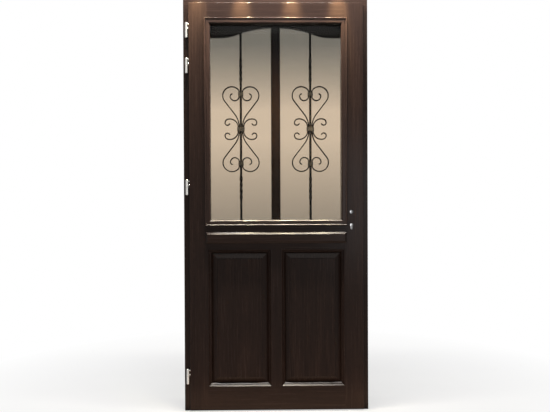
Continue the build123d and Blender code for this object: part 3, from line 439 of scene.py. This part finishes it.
def pale_floor():
    """A plain pale floor that turns white away from the door and keeps the door's shadow."""
    shader = Shader("pale_floor", Specular_IOR_Level=0.0, Roughness=0.8)
    cloud = shader.noise(shader.coords, scale=2.0, detail=3.0)
    pale = shader.ramp(cloud, (0.3, (0.55, 0.55, 0.54)), (0.7, (0.60, 0.60, 0.59)))
    shader.drive(Base_Color=pale)
    length = shader.add("ShaderNodeVectorMath", {"operation": "LENGTH"}, Vector=shader.coords)
    fade = shader.spread(length.outputs["Value"], FLOOR_WHITE, 1.0, *FLOOR_FADE)
    white = shader.math("MULTIPLY", fade, seen_rays(shader.tree))
    glow = shader.add("ShaderNodeEmission", Color=WHITE, Strength=1.0).outputs[0]
    shader.mix_surface(white, shader.principled.outputs[0], glow)
    return shader.material


# Carried-over pieces


def dress(material, nodes, arris=0.0):
    """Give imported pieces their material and, for an arris, soft edges."""
    for node in nodes:
        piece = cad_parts[node]
        piece.data.materials.clear()
        piece.data.materials.append(material)
        if arris:
            piece.modifiers.new("weld", "WELD").merge_threshold = WELD_DISTANCE
            bevel = piece.modifiers.new("arris", "BEVEL")
            bevel.width = arris
            bevel.segments = ARRIS_SEGMENTS
            bevel.limit_method = "ANGLE"
            bevel.angle_limit = ARRIS_ANGLE
            bevel.harden_normals = True


def dress_wood():
    """Materials of the boards, mouldings and beads."""
    # The beads are glossier, and lighter as painted light
    beads = {"painted_light_factor": BEAD_PAINTED_LIGHT, "gloss": BEAD_GLOSS}
    dress(wood("wood_upright", Z_AXIS), VERTICAL_GRAIN, WOOD_ARRIS)
    dress(wood("wood_level", X_AXIS), HORIZONTAL_GRAIN, WOOD_ARRIS)
    dress(mitred_wood("wood_mitred", MITRED_GRAIN[0]), MITRED_GRAIN, WOOD_ARRIS)
    dress(wood("bead_upright", Z_AXIS, **beads), UPRIGHT_BEADS, WOOD_ARRIS)
    dress(wood("bead_level", X_AXIS, **beads), LEVEL_BEADS, WOOD_ARRIS)


def dress_metal():
    """Materials of the grilles, hinges, lock, strikes, spacer and threshold."""
    iron = wrought_iron("wrought_iron", *IRON_TONES)
    # Lighter, greyer iron for the collars: a painted highlight
    collar_painted_highlight = wrought_iron("worn_iron", *COLLAR_PAINTED_HIGHLIGHT_TONES)
    nickel = brushed_metal(
        "satin_nickel", (0.46, 0.445, 0.42), (0.66, 0.64, 0.61), Z_AXIS, 0.2, 0.34
    )
    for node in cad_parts:
        if "grille" in node:
            # The collars take the lighter iron as a painted highlight
            paint = collar_painted_highlight if "collars" in node else iron
            dress(paint, [node], 0.0 if "bar" in node else IRON_ARRIS)
        elif "knuckle" in node:
            dress(nickel, [node])
    zinc = zinc_plate()
    dress(zinc, ZINC_PLAIN)
    dress(zinc, ZINC_BOLTS, METAL_ARRIS)
    spacer = brushed_metal("spacer_metal", (0.4, 0.4, 0.4), (0.5, 0.5, 0.5), X_AXIS, 0.4, 0.55)
    dress(spacer, ["pane_spacer"])
    aluminium = brushed_metal(
        "mill_aluminium", (0.5, 0.51, 0.52), (0.66, 0.67, 0.68), X_AXIS, 0.3, 0.46
    )
    dress(aluminium, ["threshold"])


def dress_rest():
    """Materials of the seals, blocks, bushes and panes."""
    black = rubber("seal_rubber", (0.0075, 0.0075, 0.008), (0.016, 0.016, 0.016))
    dress(black, RUBBER_SEALS)
    sealant = rubber("edge_sealant", (0.016, 0.016, 0.018), (0.03, 0.03, 0.032))
    dress(sealant, ["pane_edge_seal"])
    dress(pale_nylon(), ["setting_blocks", "hinge_bushes"])
    dress(float_glass(), PANES)


# Screws


def mesh_object(name, form):
    """An object of a bmesh, linked to the scene."""
    mesh = bpy.data.meshes.new(name)
    bmesh.ops.recalc_face_normals(form, faces=form.faces)
    form.to_mesh(mesh)
    form.free()
    piece = bpy.data.objects.new(name, mesh)
    bpy.context.scene.collection.objects.link(piece)
    return piece


def screw_dome():
    """A raised countersunk head on the X axis."""
    form = bmesh.new()
    rings = []
    for radius_share, height_share in SCREW_RINGS:
        radius, height = SCREW_RADIUS * radius_share, SCREW_DOME * height_share
        ring = []
        for step in range(SCREW_SIDES):
            angle = 2 * math.pi * step / SCREW_SIDES
            place = (height, radius * math.cos(angle), radius * math.sin(angle))
            ring.append(form.verts.new(place))
        rings.append(ring)
    for near, far in zip(rings, rings[1:]):
        for step in range(SCREW_SIDES):
            after = (step + 1) % SCREW_SIDES
            form.faces.new((near[step], near[after], far[after], far[step]))
    form.faces.new(rings[-1])
    form.faces.new(reversed(rings[0]))
    return mesh_object("screw_head", form)


def screw_cross():
    """The cutter of a head's cross recess, centred on the top of the dome."""
    form = bmesh.new()
    move = Matrix.Translation((SCREW_DOME, 0.0, 0.0))
    for size in ((SCREW_SLOT, SCREW_REACH), (SCREW_REACH, SCREW_SLOT)):
        shape = Matrix.Diagonal((SCREW_CUTTER, *size, 1.0))
        bmesh.ops.create_cube(form, size=1.0, matrix=move @ shape)
    return mesh_object("screw_cross", form)


def screw_head():
    """The mesh of a head with its cross recess."""
    head, cutter = screw_dome(), screw_cross()
    cut = head.modifiers.new("recess", "BOOLEAN")
    cut.operation = "DIFFERENCE"
    cut.solver = "EXACT"
    cut.use_self = True
    cut.object = cutter
    graph = bpy.context.evaluated_depsgraph_get()
    shaped = bpy.data.meshes.new_from_object(head.evaluated_get(graph))
    for scrap in (head, cutter):
        bpy.data.objects.remove(scrap)
    return shaped


def add_screws(name, head, body, x, facing, y, heights):
    """One piece with a screw head at each height, facing along X."""
    form = bmesh.new()
    for number, height in enumerate(heights):
        turn = Matrix.Rotation(SCREW_TURN * (number + 1), 4, "X")
        face = Matrix.Diagonal((facing, facing, 1.0, 1.0))
        part = head.copy()
        part.transform(Matrix.Translation((x, y, height)) @ face @ turn)
        form.from_mesh(part)
        bpy.data.meshes.remove(part)
    piece = mesh_object(name, form)
    piece.data.materials.append(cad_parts["lock_faceplate"].data.materials[0])
    for face in piece.data.polygons:
        face.use_smooth = True
    piece.data.set_sharp_from_angle(angle=SCREW_SHARP)
    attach(piece, body)


def add_all_screws():
    """Screws in the faceplate and in the three strike plates."""
    head = screw_head()
    low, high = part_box("lock_faceplate")
    case_low, case_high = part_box("lock_case")
    middle = (low.y + high.y) / 2
    heights = [
        low.z + PLATE_END,
        low.z + OUTER_CASE_REACH,
        case_low.z - PLATE_END,
        case_high.z + PLATE_END,
        high.z - OUTER_CASE_REACH,
        high.z - PLATE_END,
    ]
    add_screws("faceplate_screws", head, "leaf", high.x, 1.0, middle, heights)
    low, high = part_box("centre_strike")
    bolt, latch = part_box("dead_bolt"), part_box("latch_bolt")
    heights = [
        low.z + STRIKE_END,
        (bolt[1].z + latch[1].z) / 2 - STRIKE_WEB_DROP,
        high.z - STRIKE_END,
    ]
    add_screws("centre_strike_screws", head, "frame", low.x, -1.0, middle, heights)
    low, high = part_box("outer_strikes")
    heights = [
        low.z + STRIKE_END,
        low.z + OUTER_STRIKE_LENGTH - STRIKE_END,
        high.z - OUTER_STRIKE_LENGTH + STRIKE_END,
        high.z - STRIKE_END,
    ]
    add_screws("outer_strike_screws", head, "frame", low.x, -1.0, middle, heights)


# Camera, light and stage


def add_camera():
    """The photograph's view: nearly level, from the height of the door's middle."""
    data = bpy.data.cameras.new("camera")
    data.sensor_fit = "HORIZONTAL"
    data.sensor_width = SENSOR_WIDTH
    data.lens = FOCAL_PIXELS * SENSOR_WIDTH / IMAGE_WIDTH
    camera = bpy.data.objects.new("camera", data)
    level = Matrix.Rotation(math.pi / 2 - CAMERA_PITCH, 4, "X")
    turn = Matrix.Rotation(-CAMERA_YAW, 4, "Z")
    roll = Matrix.Rotation(CAMERA_ROLL, 4, "Z")
    camera.matrix_world = Matrix.Translation(CAMERA_PLACE) @ turn @ level @ roll
    bpy.context.scene.collection.objects.link(camera)
    bpy.context.scene.camera = camera


def add_lamp(data, place, target, power, colour):
    """A lamp of any kind that faces a target."""
    data.energy = power
    data.color = colour
    lamp = bpy.data.objects.new(data.name, data)
    lamp.location = place
    aim = Vector(target) - Vector(place)
    lamp.rotation_euler = aim.to_track_quat("-Z", "Y").to_euler()
    lamp.visible_camera = False
    lamp.visible_transmission = False
    bpy.context.scene.collection.objects.link(lamp)


def rectangle(name, size):
    """The data of a rectangular lamp."""
    data = bpy.data.lights.new(name, "AREA")
    data.shape = "RECTANGLE"
    data.size, data.size_y = size
    return data


def washer():
    """The data of a narrow lamp with a soft edge."""
    data = bpy.data.lights.new("washer", "SPOT")
    data.spot_size = WASHER_SPREAD
    data.spot_blend = WASHER_BLEND
    data.shadow_soft_size = WASHER_BULB
    return data


def add_lights():
    """The rectangular lamps, and four small warm lamps over the head."""
    for name, size, place, target, power, colour in LAMPS:
        add_lamp(rectangle(name, size), place, target, power, colour)
    for across, share in zip(WASHER_PLACES, WASHER_SHARES):
        place = (across, WASHER_OUT, WASHER_HEIGHT)
        target = (across, WASHER_TARGET_OUT, WASHER_TARGET_HEIGHT)
        add_lamp(washer(), place, target, WASHER_POWER * share, WASHER_COLOUR)


def add_world():
    """White for the eye, mirrors and glass, and a softer grey as light."""
    world = bpy.data.worlds.new("studio")
    world.use_nodes = True
    bpy.context.scene.world = world
    tree = world.node_tree
    background = tree.nodes["Background"]
    background.inputs["Color"].default_value = WHITE
    strength = tree.nodes.new("ShaderNodeMapRange")
    tree.links.new(seen_rays(tree), strength.inputs["Value"])
    strength.inputs["To Min"].default_value = AMBIENT
    strength.inputs["To Max"].default_value = 1.0
    tree.links.new(strength.outputs[0], background.inputs["Strength"])


def add_floor():
    """A wide floor under the door."""
    mesh = bpy.data.meshes.new("floor")
    corners = [(-1, -1), (1, -1), (1, 1), (-1, 1)]
    places = [(FLOOR_HALF * x, FLOOR_HALF * y, 0.0) for x, y in corners]
    mesh.from_pydata(places, [], [(0, 1, 2, 3)])
    floor = bpy.data.objects.new("floor", mesh)
    floor.data.materials.append(pale_floor())
    bpy.context.scene.collection.objects.link(floor)


bpy.context.scene.view_settings.view_transform = "Standard"
dress_wood()
dress_metal()
dress_rest()
add_all_screws()
add_camera()
add_world()
add_lights()
add_floor()
